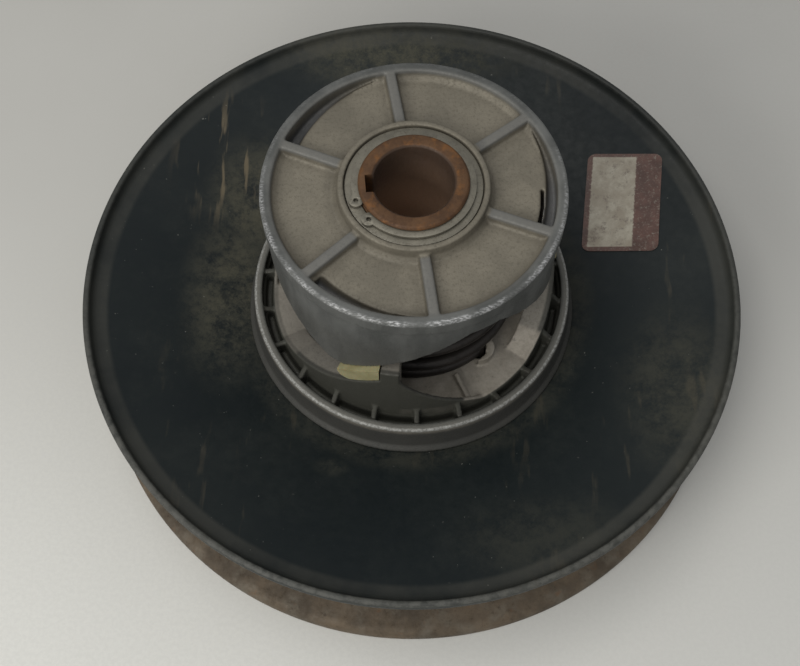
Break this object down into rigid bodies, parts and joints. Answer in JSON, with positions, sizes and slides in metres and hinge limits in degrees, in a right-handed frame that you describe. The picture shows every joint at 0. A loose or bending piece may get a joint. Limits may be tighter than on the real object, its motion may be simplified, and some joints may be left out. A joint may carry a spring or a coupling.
{
  "type": "variator driven pulley",
  "caption": "Driven pulley of a belt variator: two dished sheaves on a keyed post, a helical cam bracket with sliding shoes, and a closing spring.",
  "frame": {"origin": "on the pulley's axis, in the plane on which the fixed sheave's lip stands", "axes": "+Z along the pulley's axis, from the fixed sheave towards the cam bracket; X and Y across it"},
  "size_m": [0.234, 0.234, 0.1146],
  "materials": {
    "black_paint": "satin",
    "rusty_steel": "matte",
    "post_steel": "matte",
    "cast_aluminium": "satin",
    "spring_steel": "satin",
    "plated_steel": "satin",
    "shoe_plastic": "satin",
    "bush_bronze": "satin",
    "label_film": "satin"
  },
  "bodies": {
    "fixed": {"fixed_sheave": "rusty_steel", "fixed_hub": "rusty_steel", "fixed_rivet_1": "rusty_steel", "fixed_rivet_2": "rusty_steel", "fixed_rivet_3": "rusty_steel", "fixed_rivet_4": "rusty_steel", "fixed_rivet_5": "rusty_steel", "fixed_rivet_6": "rusty_steel", "post": "post_steel", "bracket_key": "plated_steel", "bracket_washer": "plated_steel", "retaining_ring": "plated_steel", "cam_bracket": "cast_aluminium", "torsion_spring": "spring_steel"},
    "carriage": {"lower_bush": "bush_bronze", "upper_bush": "bush_bronze"},
    "movable": {"movable_sheave": "black_paint", "movable_hub": "cast_aluminium", "sheave_screw_1": "plated_steel", "sheave_screw_2": "plated_steel", "sheave_screw_3": "plated_steel", "sheave_screw_4": "plated_steel", "sheave_screw_5": "plated_steel", "sheave_screw_6": "plated_steel", "ramp_shoe_1": "shoe_plastic", "ramp_shoe_2": "shoe_plastic", "ramp_shoe_3": "shoe_plastic", "shoe_pin_1": "plated_steel", "shoe_pin_2": "plated_steel", "shoe_pin_3": "plated_steel", "label": "label_film"}
  },
  "joints": [
    {"name": "sheave_travel", "type": "slide", "parent": "fixed", "child": "carriage", "axis": [0, 0, 1], "range_m": [0, 0.0195], "stiffness_N_per_m": 1500, "springref_m": -0.02, "deforming": ["torsion_spring"]},
    {"name": "sheave_turn", "type": "hinge", "parent": "carriage", "child": "movable", "pos_m": [0, 0, 0], "axis": [0, 0, 1], "range_deg": [0, 34.9]}
  ],
  "couplings": [
    {"joint": "sheave_turn", "follows": "sheave_travel", "rad_per_m": 31.166}
  ]
}
